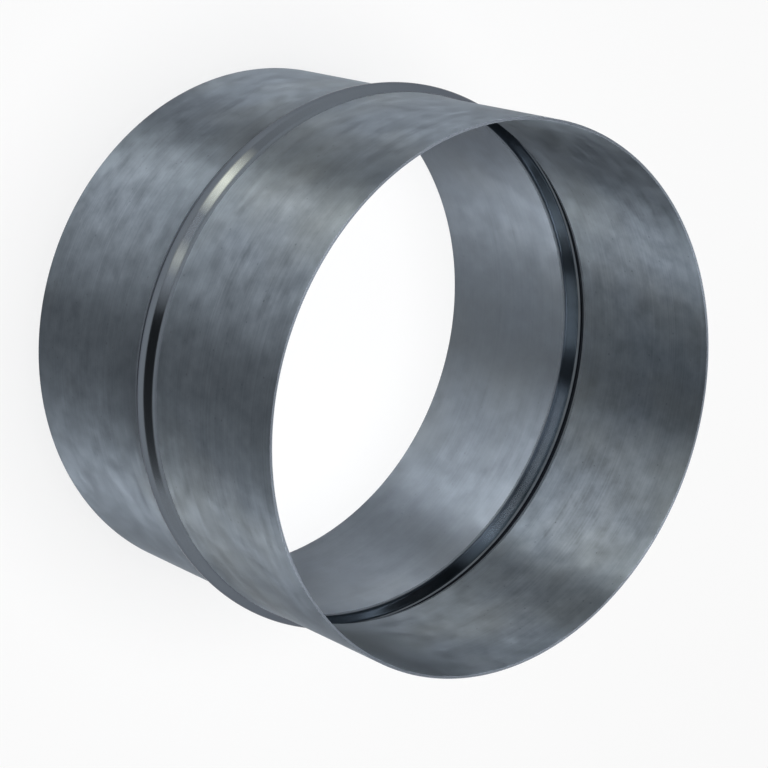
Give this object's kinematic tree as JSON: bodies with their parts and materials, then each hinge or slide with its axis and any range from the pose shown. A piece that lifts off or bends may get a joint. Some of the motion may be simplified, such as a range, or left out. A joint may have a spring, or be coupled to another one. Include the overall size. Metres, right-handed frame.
{
  "type": "duct connector",
  "caption": "Short round male duct connector of galvanised sheet: an open tube with a raised stop bead round its middle and a plain spigot each side for a duct to slide over.",
  "frame": {"origin": "centre of the lower rim, on the tube's axis, in the plane the connector stands on", "axes": "+Z along the tube's axis from the lower rim to the upper one; the part is round, so X and Y are free"},
  "size_m": [0.128, 0.128, 0.0914],
  "materials": {
    "galvanised_steel": "dull galvanised zinc, slightly blue-grey, with fine rolling streaks round the tube"
  },
  "bodies": {
    "root": {"connector_sleeve": "galvanised_steel"}
  },
  "joints": []
}
